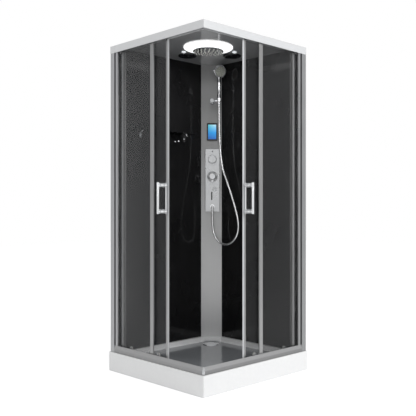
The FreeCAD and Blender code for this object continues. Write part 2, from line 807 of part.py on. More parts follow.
def make_doors():
    """The door panes with their stiles and seals, drawn where the doors stand open."""
    near = "door_glass_inward"
    far = "door_glass_inward + glass_thickness"
    lead = "door_along + magnet_width"
    lead_lip = f"{lead} + lead_stile_width"
    tail_lip = "door_tail - tail_stile_width"
    front = "stile_inward"
    back = "stile_inward + stile_depth"
    pane_start = f"{lead_lip} - lead_stile_lap"
    pane_end = f"{tail_lip} + stile_lap"
    pane = prism("door_glass_front",
                 [on_face((pane_start, near), (pane_end, near), (pane_end, far),
                          (pane_start, far))], "glass_bottom", "glass_top")
    holes = [(along(place), height, "axle_radius + seat_gap")
             for _, place, height in wheel_places()]
    pocket(pane, "XZ_Plane", holes, f"frame_half - ({near}) + 1", "glass_thickness + 2")
    keep_pair(pane)

    def stile(label, end, lip, stop):
        section = [(end, front), (lip, front), (lip, f"{near} - seat_gap"),
                   (stop, f"{near} - seat_gap"), (stop, f"{far} + seat_gap"),
                   (lip, f"{far} + seat_gap"), (lip, back), (end, back)]
        return prism(label, [on_face(*section)], "door_bottom", "door_top")

    lead_stile = stile("lead_stile", lead, lead_lip, f"({pane_start}) - seat_gap")
    tail_stile = stile("tail_stile", "door_tail", tail_lip, f"({pane_end}) + seat_gap")
    round_edges(lead_stile, "2", edges_with(x=along(lead_lip), y=inward(front)))
    round_edges(tail_stile, "2", edges_with(x=along("door_tail"), y=inward(front)))
    keep_pair(group("door_stiles_front", [lead_stile, tail_stile]))
    magnet = prism("magnet_strip",
                   [on_face(("door_along", f"{front} + 2"), (lead, f"{front} + 2"),
                            (lead, f"{back} - 2"),
                            ("door_along + stile_depth - 4", f"{back} - 2"))],
                   "door_bottom", "door_top")
    brush = prism("brush_strip",
                  [on_face(("door_tail - brush_width - 4", f"{front} - 2.2"),
                           ("door_tail - 4", f"{front} - 2.2"), ("door_tail - 4", front),
                           ("door_tail - brush_width - 4", front))],
                  "door_bottom + 20", "door_top - 20")
    keep_pair(group("door_seals_front", [magnet, brush]))


def make_handles():
    """Each door's round bar on two collared stand-offs and a slim backplate."""
    x = along("handle_along")
    bar_y = inward("-handle_outward")
    plate_y = "stile_inward - backplate_thickness"
    reach = f"handle_outward + {plate_y}"
    bar = turned("handle_bar", [
        ("0", "handle_low"), ("handle_radius - 1.5", "handle_low"),
        ("handle_radius", "handle_low + 1.5"), ("handle_radius", "handle_low + handle_length - 1.5"),
        ("handle_radius - 1.5", "handle_low + handle_length"), ("0", "handle_low + handle_length")])
    bar.setExpression("Placement.Base.x", formula(x))
    bar.setExpression("Placement.Base.y", formula(bar_y))
    parts = [bar]
    for name, height in (("low", "standoff_low"), ("high", "standoff_high")):
        parts.append(cylinder(f"standoff_{name}", (x, bar_y, height), "standoff_radius", reach,
                              (0, 1, 0)))
        for i, place in enumerate(("handle_radius + 5", f"({reach}) - collar_length")):
            parts.append(cylinder(f"collar_{name}_{i}", (x, f"({bar_y}) + {place}", height),
                                  "collar_radius", "collar_length", (0, 1, 0)))
    parts.append(box("handle_backplate", (f"({x}) - backplate_width / 2", inward(plate_y),
                                          "handle_low"),
                     ("backplate_width", "backplate_thickness", "handle_length")))
    keep_pair(fused("door_handle_front", parts))


def make_running_gear():
    """Axles through the door glass, and the grooved wheels that run on the tracks."""
    wheel_near = "track_inward - wheel_width / 2"
    wheel_far = "track_inward + wheel_width / 2"
    glass_near = "door_glass_inward"
    glass_far = "door_glass_inward + glass_thickness"
    bore = "axle_radius + bearing_gap"
    half_groove = "wheel_groove_width / 2"
    carriers = []
    for name, place, height in wheel_places():
        axle = turned(f"carrier_{name}", [
            ("0", f"{glass_near} - 3"), ("carrier_radius - 1", f"{glass_near} - 3"),
            ("carrier_radius", f"{glass_near} - 2"), ("carrier_radius", glass_near),
            ("axle_radius", glass_near), ("axle_radius", glass_far),
            ("axle_radius * 2", glass_far), ("axle_radius * 2", f"({wheel_near}) - running_gap"),
            ("axle_radius", f"({wheel_near}) - running_gap"),
            ("axle_radius", f"({wheel_far}) + running_gap"),
            ("axle_radius * 1.7", f"({wheel_far}) + running_gap"),
            ("axle_radius * 1.7", f"({wheel_far}) + running_gap + 1.8"),
            ("0", f"({wheel_far}) + running_gap + 1.8")])
        wheel = turned(f"wheel_front_{name}", [
            (bore, wheel_near), ("wheel_radius - 0.8", wheel_near),
            ("wheel_radius", f"({wheel_near}) + 0.5"),
            ("wheel_radius", f"track_inward - {half_groove}"),
            ("wheel_groove_radius", f"track_inward - {half_groove}"),
            ("wheel_groove_radius", f"track_inward + {half_groove}"),
            ("wheel_radius", f"track_inward + {half_groove}"),
            ("wheel_radius", f"({wheel_far}) - 0.5"), ("wheel_radius - 0.8", wheel_far),
            (bore, wheel_far)])
        for item in (axle, wheel):
            item.Placement.Rotation = FreeCAD.Rotation(FreeCAD.Vector(1, 0, 0), -90)
            item.setExpression("Placement.Base.x", formula(along(place)))
            item.setExpression("Placement.Base.y", formula("-frame_half"))
            item.setExpression("Placement.Base.z", formula(height))
        carriers.append(axle)
        keep_pair(wheel)
    keep_pair(group("wheel_carriers_front", carriers))


def make_walls():
    """The two dark glass walls, from the posts to the hidden back corner."""
    back = "channel_setback + channel_depth"
    outer = "wall_face + wall_thickness"
    left = prism("back_panel_left", [rectangle(f"-({outer})", inward(back), "-wall_face", outer)],
                 "tray_height", "ceiling")
    right = prism("back_panel_right", [rectangle("-wall_face", "wall_face", f"-({inward(back)})",
                                                 outer)], "tray_height", "ceiling")
    inlet = "wall_face - inlet_from_wall"
    hole = "inlet_radius + inlet_shoulder + seat_gap"
    depth = "wall_thickness + 2"
    near = inward(f"{back} - 1")

    def notches(side):
        """The corners cut out of a wall around the ends of the two rails."""
        low_edge = inward("rail_depth + seat_gap")
        high_edge = inward("top_rail_depth + seat_gap")
        low = [(near, "tray_height - 1"), (low_edge, "tray_height - 1"),
               (low_edge, "rail_top + seat_gap"), (near, "rail_top + seat_gap")]
        high = [(near, "rim_bottom - seat_gap"), (high_edge, "rim_bottom - seat_gap"),
                (high_edge, "ceiling + 1"), (near, "ceiling + 1")]
        return [[(f"{side} * ({a})", z) for a, z in loop] for loop in (low, high)]

    pocket(left, "YZ_Plane", [(inlet, "mixer_height", hole)] + notches(1), f"-({outer}) - 1",
           depth, forward=True)
    pocket(right, "XZ_Plane", [(f"-({inlet})", "mixer_height", hole)] + notches(-1),
           "-wall_face + 1", depth)
    keep(left, right)


def make_column():
    """The folded column panel across the back corner, with raised edges and its openings."""
    half = "column_half"
    rise = "column_trim_rise"
    inner = f"{half} - column_trim_width"
    section = [(f"-({half})", f"-{rise}"), (f"-({inner})", f"-{rise}"), (f"-({inner})", "0"),
               (inner, "0"), (inner, f"-{rise}"), (half, f"-{rise}"), (half, "column_skin"),
               (f"-({half})", "column_skin")]
    panel = prism("column_panel", [section], "tray_height", "ceiling")
    nozzle = rectangle("nozzle_across - nozzle_width / 2 - seat_gap", "nozzle_low - seat_gap",
                       "nozzle_across + nozzle_width / 2 + seat_gap",
                       "nozzle_low + nozzle_height + seat_gap")
    openings = [("fitting_across", "mixer_height", "spindle_radius + 9"),
                ("fitting_across", "diverter_height", "spindle_radius + 9"),
                ("fitting_across", "elbow_height", "elbow_radius + seat_gap"), nozzle]
    pocket(panel, "XZ_Plane", openings, "-column_skin - 1", "column_skin + 2", forward=True)
    stand_at_column(panel)
    keep(panel)


# ---------------------------------------------------------------- ceiling fittings

def make_ceiling_fittings():
    """The light ring, the rain head, the loudspeaker, the fan and the two spots."""
    ring = turned("light_ring", [
        ("ring_hole_radius", "ceiling"), ("ring_hole_radius", "ceiling - ring_thickness + 3"),
        ("ring_hole_radius + 4", "ceiling - ring_thickness"),
        ("ring_radius - 8", "ceiling - ring_thickness"),
        ("ring_radius - 2", "ceiling - ring_thickness + 3"),
        ("ring_radius", "ceiling - ring_thickness + 7"), ("ring_radius", "ceiling")])
    face = "ceiling - rain_head_drop"
    edge = "rain_head_radius"
    stem = "rain_stem_radius"
    head = turned("rain_shower_head", [
        ("0", face), (f"{edge} - 9", face), (f"{edge} - 7", f"{face} + 1.5"),
        (f"{edge} - 2", f"{face} + 1.5"), (edge, f"{face} + 3"),
        (edge, f"{face} + rain_head_edge"), (f"{edge} * 0.8", f"{face} + rain_head_edge + 5"),
        (f"{stem} * 2", f"{face} + rain_head_edge + 9"), (f"{stem} * 2", "ceiling"),
        (stem, "ceiling"), (stem, "roof_pipe_height + 8"), ("0", "roof_pipe_height + 8")])
    for item in (ring, head):
        item.setExpression("Placement.Base.x", formula("ring_from_middle"))
        item.setExpression("Placement.Base.y", formula("-ring_from_middle"))
    keep(ring, head)

    low = "ceiling - roof_disc_drop"
    disc = "roof_disc_radius"
    speaker = turned("loudspeaker", [
        ("0", low), (f"{disc} * 0.7", low), (f"{disc} - 4", f"{low} + 2"),
        (disc, f"{low} + 5"), (disc, "ceiling"), ("speaker_radius", "ceiling"),
        ("speaker_radius", "ceiling_top + 6"), ("speaker_radius * 0.6", "ceiling + speaker_rise - 8"),
        ("speaker_radius * 0.6", "ceiling + speaker_rise"), ("0", "ceiling + speaker_rise")])
    speaker.setExpression("Placement.Base.x", formula("-roof_disc_far"))
    speaker.setExpression("Placement.Base.y", formula("roof_disc_near"))
    keep(speaker)
    make_fan(low, disc)

    spots = []
    for i, (x, y) in enumerate((("-spot_far_offset", "-spot_near_offset"),
                               ("spot_near_offset", "spot_far_offset"))):
        spot = turned(f"spot_{i}", [
            ("0", "ceiling - spot_drop"), ("spot_radius * 0.6", "ceiling - spot_drop + 1"),
            ("spot_radius * 0.9", "ceiling - spot_drop / 2"), ("spot_radius", "ceiling - 1"),
            ("spot_radius", "ceiling"), ("0", "ceiling")])
        spot.setExpression("Placement.Base.x", formula(x))
        spot.setExpression("Placement.Base.y", formula(y))
        spots.append(spot)
    keep(group("spot_lights", spots))


def make_fan(low, disc):
    """The extractor: a slotted grille under the ceiling, the duct on it, and the rotor."""
    duct = "fan_duct_radius"
    bore = "fan_duct_radius - fan_duct_wall"
    plate = f"{low} + 3"
    hub_top = "ceiling + 3"
    spindle = "2.5"
    top = "ceiling + fan_duct_rise"
    collar = "ceiling_top + 2.5"
    pipe = turned("extractor_fan_duct", [
        (bore, "ceiling"), (f"{duct} + 2", "ceiling"), (f"{duct} + 2", "ceiling_top"),
        (f"{duct} + 12", "ceiling_top"), (f"{duct} + 12", collar), (duct, collar), (duct, top),
        (bore, top)])
    housing = turned("extractor_fan_grille", [
        ("0", low), (f"{disc} * 0.8", low), (f"{disc} - 3", f"{low} + 2"), (disc, f"{low} + 5"),
        (disc, "ceiling"), (f"{disc} - 3", "ceiling"), (f"{disc} - 3", plate),
        ("fan_hub_radius", plate), ("fan_hub_radius", hub_top), (spindle, hub_top),
        (spindle, f"{hub_top} + fan_hub_depth + 3"), ("0", f"{hub_top} + fan_hub_depth + 3")])
    slot = rectangle("-2.5", "fan_hub_radius + 2", "2.5", f"{bore} - 2")
    first = pocket(housing, "XY_Plane", [slot], f"{low} - 1", "5", forward=True)
    pattern = housing.newObject("PartDesign::PolarPattern", "grille_slots")
    pattern.Originals = [first]
    pattern.Axis = (first.Profile[0], ["N_Axis"])
    pattern.Angle = 360
    pattern.Occurrences = 14
    housing.Tip = pattern

    hub = turned("fan_hub", [
        (f"{spindle} + bearing_gap", f"{hub_top} + 1"), ("fan_hub_radius", f"{hub_top} + 1"),
        ("fan_hub_radius", f"{hub_top} + fan_hub_depth - 3"),
        ("fan_hub_radius - 3", f"{hub_top} + fan_hub_depth"),
        (f"{spindle} + bearing_gap", f"{hub_top} + fan_hub_depth")])
    blade_count = 7
    blades = [hub]
    for i in range(blade_count):
        blade = document.addObject("Part::Box", f"fan_blade_{i}")
        blade.setExpression("Length", formula("fan_radius - fan_hub_radius + 2"))
        blade.setExpression("Width", formula("fan_blade_width"))
        blade.Height = 1.8
        turn = FreeCAD.Rotation(FreeCAD.Vector(0, 0, 1), 360 * i / blade_count)
        pitch = FreeCAD.Rotation(FreeCAD.Vector(1, 0, 0), number("fan_blade_pitch"))
        blade.Placement.Rotation = turn * pitch
        angle = math.radians(360 * i / blade_count)
        root = "(fan_hub_radius - 2)"
        back = "(fan_blade_width / 2 * cos(fan_blade_pitch))"
        blade.setExpression("Placement.Base.x", formula(
            f"{root} * {math.cos(angle):.9f} + {back} * {math.sin(angle):.9f}"))
        blade.setExpression("Placement.Base.y", formula(
            f"{root} * {math.sin(angle):.9f} - {back} * {math.cos(angle):.9f}"))
        blade.setExpression("Placement.Base.z", formula(
            f"{hub_top} + fan_hub_depth / 2 - fan_blade_width / 2 * sin(fan_blade_pitch)"))
        blades.append(blade)
    rotor = fused("extractor_fan_rotor", blades)
    for item in (pipe, housing, rotor):
        item.setExpression("Placement.Base.x", formula("-roof_disc_near"))
        item.setExpression("Placement.Base.y", formula("roof_disc_far"))
    keep(pipe, housing, rotor)


# ---------------------------------------------------------------- column fittings

def make_control_plate():
    """The brushed plate with its knobs, and the valve block behind it."""
    plate = new_body("control_plate")
    outline = rectangle("fitting_across - plate_width / 2", "plate_low",
                        "fitting_across + plate_width / 2", "plate_low + plate_height")
    pad(plate, "XZ_Plane", [outline], "0", "plate_thickness")
    round_edges(plate, "plate_rounding", edges_with(y="-plate_thickness"))
    shaft = "spindle_radius + 1"
    nozzle = rectangle("nozzle_across - nozzle_width / 2 - seat_gap", "nozzle_low - seat_gap",
                       "nozzle_across + nozzle_width / 2 + seat_gap",
                       "nozzle_low + nozzle_height + seat_gap")
    openings = [("fitting_across", "mixer_height", shaft),
                ("fitting_across", "diverter_height", shaft),
                ("fitting_across", "elbow_height", "elbow_radius + seat_gap"), nozzle]
    pocket(plate, "XZ_Plane", openings, "plate_thickness + 1", "plate_thickness + 2")
    stand_at_column(plate)
    keep(plate)

    block = [box("valve_block", ("fitting_across - mixer_block_width / 2", "column_skin",
                                 "mixer_block_low"),
                 ("mixer_block_width", "mixer_block_depth", "mixer_block_high - mixer_block_low"))]
    for name, height, depth in (("mixer", "mixer_height", "mixer_depth"),
                                ("diverter", "diverter_height", "diverter_depth")):
        block.append(cylinder(f"{name}_spindle", ("fitting_across", "column_skin + 1", height),
                              "spindle_radius", f"column_skin + 1 + plate_thickness + {depth} / 2",
                              (0, -1, 0)))
    inner = "wall_face - inlet_from_wall"
    # the inlets leave square to the walls, which stand at 45 degrees to the column
    behind = f"(({inner}) - column_face) * sqrt(2)"
    for name, sign in (("cold", -1), ("hot", 1)):
        block.append(cylinder(f"{name}_inlet", ("0", behind, "mixer_height"), "inlet_radius",
                              f"inlet_outward - ({inner})", (sign, 1, 0)))
        block.append(cylinder(f"{name}_shoulder", ("0", behind, "mixer_height"),
                              "inlet_radius + inlet_shoulder",
                              f"wall_face + wall_thickness + 2 - ({inner})", (sign, 1, 0)))
    body = fused("mixer_body", block)
    stand_at_column(body)
    keep(body)


def make_knobs():
    """The mixer's lever knob and the flat diverter knob."""
    depth = "mixer_depth"
    rim = "mixer_radius"
    bore = "spindle_radius + bearing_gap"
    knob = turned("mixer_knob", [
        (bore, "running_gap"), (f"{rim} - 2", "running_gap"), (rim, "3"), (rim, "7"),
        (f"{rim} * 0.86", "11"), (f"{rim} * 0.74", "13"), (f"{rim} * 0.7", f"{depth} - 5"),
        (f"{rim} * 0.56", f"{depth}"), ("0", f"{depth} + 1"),
        ("0", f"{depth} / 2 + running_gap"), (bore, f"{depth} / 2 + running_gap")])
    lever = box("mixer_lever_bar", ("-5", "-mixer_radius - 5", "mixer_depth - 14"),
                ("10", "mixer_radius * 0.6", "9"))
    mixer = fused("mixer_lever", [knob, lever])
    face_from_column(mixer, "fitting_across", "plate_thickness", "mixer_height")
    depth = "diverter_depth"
    rim = "diverter_radius"
    diverter = turned("diverter_knob", [
        (bore, "running_gap"), (f"{rim} - 1", "running_gap"), (rim, "1.5"),
        (rim, f"{depth} - 2.5"), (f"{rim} - 2.5", depth), (f"{rim} - 6", f"{depth} - 1"),
        ("0", f"{depth} - 1"), ("0", f"{depth} / 2 + running_gap"),
        (bore, f"{depth} / 2 + running_gap")])
    face_from_column(diverter, "fitting_across", "plate_thickness", "diverter_height")
    keep(mixer, diverter)


def make_steam_and_pipes():
    """The slim boiler and the pipes in the duct behind the column, and the steam nozzle."""
    behind = "column_depth * 0.42"
    nozzle = new_body("steam_nozzle")
    pad(nozzle, "XZ_Plane", [rectangle("nozzle_across - nozzle_width / 2", "nozzle_low",
                                       "nozzle_across + nozzle_width / 2",
                                       "nozzle_low + nozzle_height")],
        "-nozzle_depth", "nozzle_depth + plate_thickness + 0.5")
    pocket(nozzle, "XZ_Plane", [rectangle("nozzle_across - nozzle_width / 4", "nozzle_low + 3",
                                          "nozzle_across + nozzle_width / 4",
                                          "nozzle_low + nozzle_height - 3")],
           "plate_thickness + 1", "12")
    stand_at_column(nozzle)
    top = "boiler_low + boiler_height"
    boiler = turned("steam_generator", [
        ("0", "boiler_low"), ("boiler_radius - 6", "boiler_low"),
        ("boiler_radius - 2", "boiler_low + 6"), ("boiler_radius", "boiler_low + 6"),
        ("boiler_radius", "boiler_low + 20"), ("boiler_radius - 2", "boiler_low + 20"),
        ("boiler_radius - 2", f"{top} - 20"), ("boiler_radius", f"{top} - 20"),
        ("boiler_radius", f"{top} - 6"), ("boiler_radius - 2", f"{top} - 6"),
        ("boiler_radius - 6", top), ("0", top)])
    stand_at_column(boiler, "0", f"-{behind}")
    keep(nozzle, boiler)

    steam_across = "nozzle_across"
    steam_behind = "nozzle_depth - steam_pipe_radius"
    steam = cylinder("steam_pipe", (steam_across, steam_behind, top), "steam_pipe_radius",
                     f"nozzle_low - ({top})")
    feed_radius = "7"
    feed_across = "-18"
    feed_behind = "18"
    feed = fused("feed_pipe", [
        cylinder("feed_drop", (feed_across, feed_behind, "elbow_height"), feed_radius,
                 "mixer_block_low - elbow_height"),
        ball("feed_bend", (feed_across, feed_behind, "elbow_height"), feed_radius),
        cylinder("feed_run", (feed_across, feed_behind, "elbow_height"), feed_radius,
                 f"fitting_across - elbow_radius - ({feed_across})", (1, 0, 0))])
    riser_radius = "rain_stem_radius - 2"
    riser_behind = "50"
    reach = f"sqrt(2) * (column_face + ring_from_middle) + {riser_behind} - rain_stem_radius - 0.3"
    riser = fused("riser_pipe", [
        cylinder("riser_rise", ("0", riser_behind, "mixer_block_high - 60"), riser_radius,
                 "roof_pipe_height - mixer_block_high + 60"),
        ball("riser_bend", ("0", riser_behind, "roof_pipe_height"), riser_radius),
        cylinder("riser_run", ("0", riser_behind, "roof_pipe_height"), riser_radius, reach,
                 (0, -1, 0)),
        cylinder("riser_root", ("0", "column_skin + mixer_block_depth", "mixer_block_high - 60"),
                 riser_radius, f"{riser_behind} - column_skin - mixer_block_depth", (0, 1, 0)),
        ball("riser_heel", ("0", riser_behind, "mixer_block_high - 60"), riser_radius)])
    pipes = group("water_pipes", [steam, feed, riser])
    stand_at_column(pipes)
    keep(pipes)


def make_display():
    """The display: a rounded housing with a shallow recess for its screen."""
    high = "display_low + display_height"
    housing = new_body("display_housing")
    pad(housing, "XZ_Plane", [rectangle("display_across - display_width / 2", "display_low",
                                        "display_across + display_width / 2", high)],
        "0", "display_thickness")
    near, far = ("display_across - display_width / 2", "display_across + display_width / 2")
    round_edges(housing, "display_rounding",
                *[edges_with(x=x, z=z) for x in (near, far) for z in ("display_low", high)])
    round_edges(housing, "1.5", edges_with(y="-display_thickness"))
    middle = "display_low + display_height / 2"

    def window(slack):
        return rectangle(f"display_across - screen_width / 2 - ({slack})",
                         f"{middle} - screen_height / 2 - ({slack})",
                         f"display_across + screen_width / 2 + ({slack})",
                         f"{middle} + screen_height / 2 + ({slack})")

    pocket(housing, "XZ_Plane", [window("seat_gap")], "display_thickness + 1",
           "screen_recess + 1")
    screen = new_body("display_screen")
    pad(screen, "XZ_Plane", [window("0")], "display_thickness - screen_recess",
        "screen_thickness")
    for item in (housing, screen):
        stand_at_column(item)
    keep(housing, screen)


def make_hose_elbow():
    """The outlet that turns the water down into the hose."""
    base = "plate_thickness"
    elbow = fused("hose_elbow", [
        cylinder("elbow_shank", ("fitting_across", "24", "elbow_height"), "elbow_radius",
                 "24 + elbow_outward", (0, -1, 0)),
        cylinder("elbow_rose", ("fitting_across", f"-{base}", "elbow_height"),
                 "elbow_radius * 1.6", "4", (0, -1, 0)),
        ball("elbow_bend", ("fitting_across", "-elbow_outward", "elbow_height"), "elbow_radius"),
        cylinder("elbow_outlet", ("fitting_across", "-elbow_outward",
                                  "elbow_height - elbow_drop"), "elbow_radius", "elbow_drop")])
    stand_at_column(elbow)
    keep(elbow)


def make_hand_shower():
    """The wall holder with its tilting cup, and the hand shower that hangs in the cup."""
    height = "holder_height"
    pin_length = "cup_across - cup_radius - fitting_across + 1"
    base = fused("holder_base", [
        cylinder("holder_rose", ("fitting_across", "0", height), "holder_radius + 1.5", "5",
                 (0, -1, 0)),
        cylinder("holder_neck", ("fitting_across", "0", height), "holder_radius * 0.6",
                 "holder_out", (0, -1, 0)),
        cylinder("holder_knob", ("fitting_across", "8 - holder_out", height), "holder_radius",
                 "20", (0, -1, 0)),
        cylinder("holder_arm", ("fitting_across", "-holder_out", height), "pivot_radius * 1.7",
                 f"{pin_length} - 12", (1, 0, 0)),
        cylinder("holder_pin", ("fitting_across", "-holder_out", height), "pivot_radius",
                 pin_length, (1, 0, 0))])
    stand_at_column(base)
    keep(base)

    low = "cup_low"
    high = "cup_low + cup_length"
    shell = turned("cup_shell", [
        ("cup_bore_low", low), ("cup_radius - 1.5", low), ("cup_radius", f"{low} + 2"),
        ("cup_radius", f"{high} - cup_taper"), ("cup_bore_high + 1.6", high), ("cup_bore_high", high)])
    boss = cylinder("cup_boss", ("-cup_radius - 10", "0", height), "pivot_radius * 1.8",
                    "cup_radius - cup_bore_high + 10.5", (1, 0, 0))
    bearing = cylinder("cup_bearing", ("-cup_radius - 11", "0", height),
                       "pivot_radius + bearing_gap", "12.2", (1, 0, 0))
    cup = cut("holder_cup", fused("cup_outside", [shell, boss]), bearing)
    stand_at_column(cup, "cup_across", "holder_out")
    keep(cup)

    handle = turned("hand_grip", [
        ("0", "hose_end_height"), ("cup_bore_low - 1.2", "hose_end_height"),
        ("cup_bore_low - seat_gap", low), ("cup_bore_high - seat_gap", high),
        ("cup_bore_high + 0.6", f"{high} + 3"), ("grip_slim", f"{high} + 24"),
        ("grip_full", f"{high} + 79"), ("grip_full", "head_height"), ("0", "head_height")])
    rose = turned("hand_rose", [
        ("0", "0"), ("head_radius - 8", "0"), ("head_radius - 7", "1.5"),
        ("head_radius - 2.5", "1.5"), ("head_radius", "4"), ("head_radius", "9"),
        ("head_radius - 6", "head_thickness - 9"), ("18", "head_thickness"),
        ("0", "head_thickness")])
    rose.setExpression("Placement.Base.x", formula("head_out * sin(head_turn)"))
    rose.setExpression("Placement.Base.y", formula("-head_out * cos(head_turn)"))
    rose.setExpression("Placement.Base.z", formula("head_height"))
    rose.Placement.Rotation = (
        FreeCAD.Rotation(FreeCAD.Vector(0, 0, 1), number("head_turn"))
        * FreeCAD.Rotation(FreeCAD.Vector(1, 0, 0), number("head_tilt") - 90))
    shower = fused("hand_shower", [handle, rose])
    stand_at_column(shower, "cup_across", "holder_out")
    keep(shower)


def make_hose():
    """The metal hose: straight runs joined by tangent arcs, from the outlet to the grip."""
    root = math.sqrt(2)
    face = number("column_face")

    def column_point(across, out, height):
        return FreeCAD.Vector(-face + (across + out) / root, face + (across - out) / root, height)

    start = column_point(number("fitting_across"), number("elbow_outward"),
                         number("elbow_height - elbow_drop"))
    end = column_point(number("cup_across"), number("holder_out"), number("hose_end_height"))
    route = [start]
    route += [column_point(across, out, start.z + rise) for across, out, rise in HOSE_LOOP]
    route += [FreeCAD.Vector(end.x, end.y, end.z - HOSE_HANG), end]
    edges = []
    tangent = route[0]
    radii = []
    for before, corner, after in zip(route, route[1:], route[2:]):
        way_in = (corner - before).normalize()
        way_out = (after - corner).normalize()
        turn = way_in.getAngle(way_out)
        trim = 0.45 * min(before.distanceToPoint(corner), corner.distanceToPoint(after))
        radius = trim / math.tan(turn / 2)
        radii.append(round(radius))
        first = corner - way_in * trim
        last = corner + way_out * trim
        middle = corner + (way_out - way_in).normalize() * (
            radius / math.cos(turn / 2) - radius)
        edges.append(Part.LineSegment(tangent, first).toShape())
        edges.append(Part.Arc(first, middle, last).toShape())
        tangent = last
    edges.append(Part.LineSegment(tangent, route[-1]).toShape())
    path = Part.Wire(edges)
    radius = number("hose_radius")
    direction = (route[1] - route[0]).normalize()
    section = Part.Wire([Part.makeCircle(radius, route[0], direction)])
    solid = path.makePipeShell([section], True, False)
    expected = math.pi * radius ** 2 * path.Length
    print(f"hose: length {path.Length:.0f}, radii {radii}, "
          f"volume {solid.Volume:.0f} of {expected:.0f}")
    hose = document.addObject("Part::Feature", "shower_hose")
    hose.Label = "shower_hose"
    hose.Shape = solid
    keep(hose)


# ---------------------------------------------------------------- shelf

def make_shelf():
    """The glass shelf on the left wall, its two clamps and the hook under it."""
    wall = "-wall_face"
    near_end = "shelf_end_offset - shelf_length"
    shelf = new_body("shelf_glass")
    pad(shelf, "XY_Plane", [rectangle(f"{wall} + 2", near_end, f"{wall} + 2 + shelf_depth",
                                      "shelf_end_offset")], "shelf_height", "shelf_thickness")
    round_edges(shelf, "14", edges_with(x=f"{wall} + 2 + shelf_depth", y=near_end),
                edges_with(x=f"{wall} + 2 + shelf_depth", y="shelf_end_offset"))
    keep(shelf)
    parts = []
    for i, middle in enumerate(("shelf_end_offset - 12", f"{near_end} + 12")):
        low_y = f"{middle} - clamp_width / 2"
        foot = box(f"clamp_foot_{i}", (wall, low_y, "shelf_height - clamp_height"),
                   ("5", "clamp_width", "clamp_height"))
        ledge = box(f"clamp_ledge_{i}", (wall, low_y, "shelf_height - 7"),
                    ("clamp_reach", "clamp_width", "7"))
        nose = cylinder(f"clamp_nose_{i}", (f"{wall} + clamp_reach", middle, "shelf_height - 7"),
                        "clamp_width / 2", "7")
        grip = cylinder(f"clamp_grip_{i}", (f"{wall} + 2.5", middle,
                                            "shelf_height - clamp_height / 2"),
                        "clamp_width / 2 - 1", "8", (1, 0, 0))
        parts.append(fused(f"shelf_clamp_{i}", [foot, ledge, nose, grip]))
    stem = cylinder("hook_stem", (wall, "hook_along_wall", "hook_height"), "hook_radius / 2",
                    "hook_outward", (1, 0, 0))
    plate = cylinder("hook_plate", (wall, "hook_along_wall", "hook_height"), "hook_radius", "4",
                     (1, 0, 0))
    knob = ball("hook_knob", (f"{wall} + hook_outward", "hook_along_wall", "hook_height"),
                "hook_radius")
    parts.append(fused("robe_hook", [stem, plate, knob]))
    keep(group("shelf_brackets", parts))


make_tray()
make_tray_frame()
make_drain()
make_bottom_rails()
make_top_rails()
make_connectors()
make_posts()
make_roof()
make_fixed_panels()
make_doors()
make_handles()
make_running_gear()
make_walls()
make_column()
make_ceiling_fittings()
make_control_plate()
make_knobs()
make_steam_and_pipes()
make_display()
make_hose_elbow()
make_hand_shower()
make_hose()
make_shelf()

document.recompute()
for item in document.Objects:
    if "Invalid" in item.State or "Error" in item.State:
        raise RuntimeError(f"{item.Label} failed: {item.State}")
os.makedirs("parts", exist_ok=True)
for label, item in pieces.items():
    shape = item.Shape
    if shape.isNull() or not shape.isValid() or not shape.Solids:
        raise RuntimeError(f"{label} has no valid solid")
for label, item in pieces.items():
    item.Shape.exportStep(f"parts/{label}.step")
print(len(pieces), "sub-parts written")
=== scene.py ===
"""Looks of the steam shower cabin: camera, hose, materials, fine trim, light and floor.

Metres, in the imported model's frame: +Z up, the open corner towards +X and -Y.
"""
import bmesh
import bpy
import math
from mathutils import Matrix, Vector


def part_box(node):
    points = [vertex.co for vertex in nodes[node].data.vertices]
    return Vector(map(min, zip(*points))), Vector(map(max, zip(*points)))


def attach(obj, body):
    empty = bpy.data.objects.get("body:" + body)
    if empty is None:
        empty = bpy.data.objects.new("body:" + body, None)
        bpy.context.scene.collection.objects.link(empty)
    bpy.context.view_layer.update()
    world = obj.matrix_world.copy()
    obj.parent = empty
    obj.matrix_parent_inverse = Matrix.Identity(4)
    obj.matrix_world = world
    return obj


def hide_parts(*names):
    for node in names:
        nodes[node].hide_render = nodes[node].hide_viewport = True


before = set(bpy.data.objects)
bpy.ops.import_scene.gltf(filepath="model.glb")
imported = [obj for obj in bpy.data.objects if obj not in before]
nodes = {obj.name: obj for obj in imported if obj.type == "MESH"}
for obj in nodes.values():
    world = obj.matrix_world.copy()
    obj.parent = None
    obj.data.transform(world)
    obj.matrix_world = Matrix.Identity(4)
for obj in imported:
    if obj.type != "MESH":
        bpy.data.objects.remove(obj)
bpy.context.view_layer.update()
scene = bpy.context.scene
scene.view_settings.view_transform = "Standard"

ROOT2 = math.sqrt(2)
# The column's face crosses the back corner, in front of where the walls' faces meet.
WALL_FACE, COLUMN_DEPTH = 0.392, 0.0764
COLUMN_FACE = WALL_FACE - COLUMN_DEPTH / ROOT2
OUT = Vector((1, -1, 0)) / ROOT2
RIGHT = Vector((1, 1, 0)) / ROOT2
DOWN = Vector((0, 0, -1))


def at_column(across, out, height):
    """A point given by its place across the column, out from it and its height, in metres."""
    return Vector((-COLUMN_FACE + (across + out) / ROOT2,
                   COLUMN_FACE + (across - out) / ROOT2, height))


# ---------------------------------------------------------------- camera

camera = bpy.data.objects.new("camera", bpy.data.cameras.new("camera"))
scene.collection.objects.link(camera)
camera.location = (3.096, -2.839, 1.0295)
camera.rotation_euler = (math.radians(90), 0, math.radians(44.03))
camera.data.sensor_width = 36
camera.data.lens = 56.7
camera.data.shift_x = -0.0962
camera.data.shift_y = 0.0022
camera.data.clip_start = 0.05
scene.camera = camera


# ---------------------------------------------------------------- hose

OUTLET_HEIGHT = 1.028
HOSE_RADIUS = 0.0068
